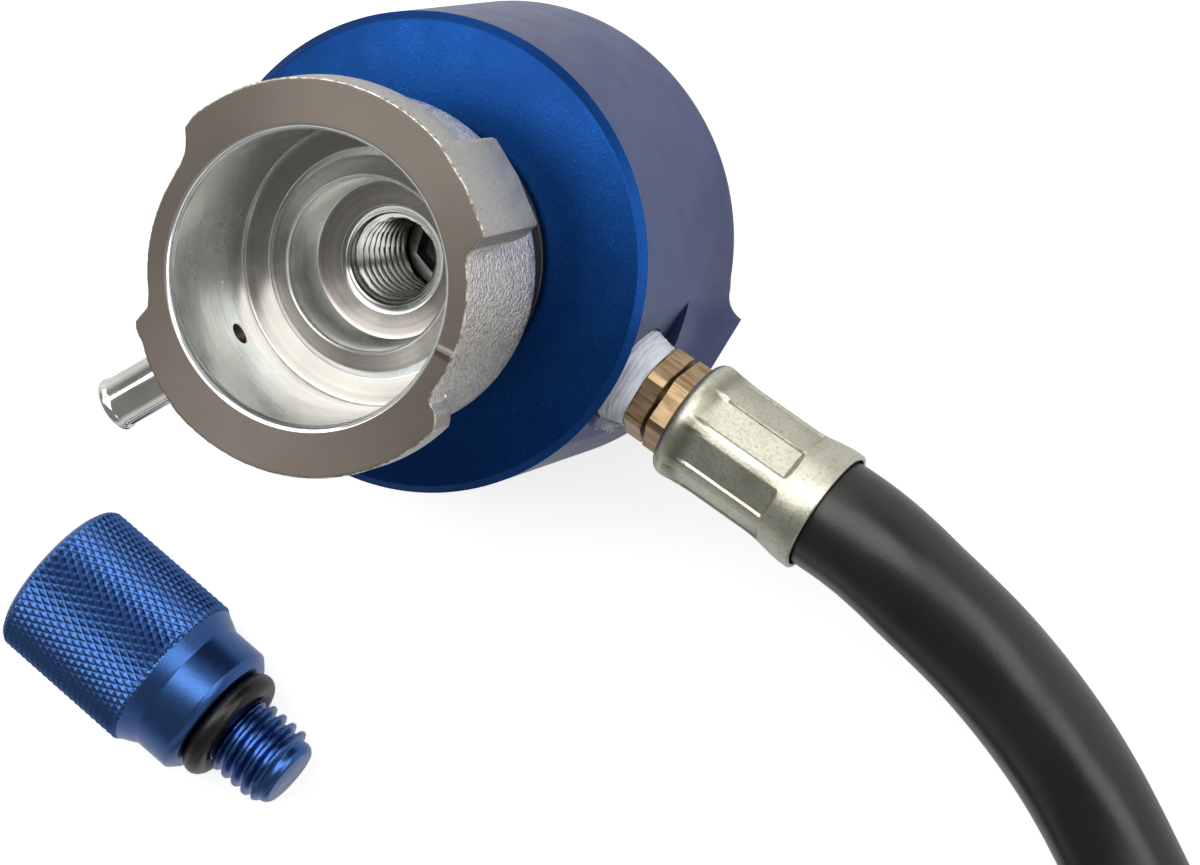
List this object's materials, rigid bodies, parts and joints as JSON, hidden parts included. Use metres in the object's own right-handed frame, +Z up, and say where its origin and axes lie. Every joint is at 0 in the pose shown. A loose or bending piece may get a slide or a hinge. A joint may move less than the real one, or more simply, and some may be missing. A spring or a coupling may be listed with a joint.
{
  "type": "cooling system pressure tester",
  "caption": "Round drum with a bayonet filler neck, an overflow pipe and a crimped hose on a swivelling side port, with a loose knurled blanking plug.",
  "frame": {"origin": "on the ground, in the middle of the joint footprint of the test head and its loose plug, without the hose", "axes": "+Z up along the drum's and the filler neck's axis; the side port leaves the drum at 32 degrees from +X towards -Y"},
  "size_m": [0.1743, 0.2709, 0.0597],
  "materials": {
    "drum_body": "blue anodised, bead blasted",
    "filler_neck": "cast skin, machined face and bore",
    "overflow_pipe": "bright",
    "brass": "machined",
    "steel": "zinc plated",
    "ferrule": "yellow-green zinc, crimped",
    "thread_tape": "wound white sealing tape",
    "seal_rubber": "black, satin",
    "hose_rubber": "black, satin",
    "carrier": "turned",
    "knurled_plug": "blue anodised, knurled"
  },
  "bodies": {
    "head": {"drum_body": "drum_body", "bayonet_ear_1": "steel", "bayonet_ear_2": "steel", "bayonet_screw_1": "steel", "bayonet_screw_2": "steel", "bayonet_screw_3": "steel", "bayonet_screw_4": "steel", "carrier_bolt": "steel", "filler_neck": "filler_neck", "overflow_pipe": "overflow_pipe", "neck_gasket": "seal_rubber", "nipple_screw": "steel", "male_adaptor": "brass", "thread_tape": "thread_tape", "hose_run": "hose_rubber", "hose_coil": "hose_rubber", "far_hose_end": "hose_rubber", "far_ferrule": "ferrule", "far_stem": "brass", "hose_connector": "steel"},
    "swivel": {"swivel_stem": "brass", "swivel_oring": "seal_rubber", "swivel_ring": "steel", "hose_ferrule": "ferrule", "crimped_hose_end": "hose_rubber"},
    "carrier": {"seal_carrier": "carrier", "rim_seal": "seal_rubber", "carrier_oring": "seal_rubber", "carrier_spring": "steel"},
    "plug": {"knurled_plug": "knurled_plug", "plug_oring": "seal_rubber"}
  },
  "joints": [
    {"name": "hose_swivel", "type": "hinge", "parent": "head", "child": "swivel", "pos_m": [0.03119, 0.00366, 0.0205], "axis": [0.848, -0.5299, 0], "range_deg": [-90, 90]},
    {"name": "carrier_slide", "type": "slide", "parent": "head", "child": "carrier", "axis": [0, 0, 1], "range_m": [0, 0.0019], "stiffness_N_per_m": 2000, "springref_m": -0.004, "deforming": ["carrier_spring"]},
    {"name": "plug_lift", "type": "slide", "parent": "head", "child": "plug", "axis": [0, 0, 1], "range_m": [0, 0.03]}
  ]
}
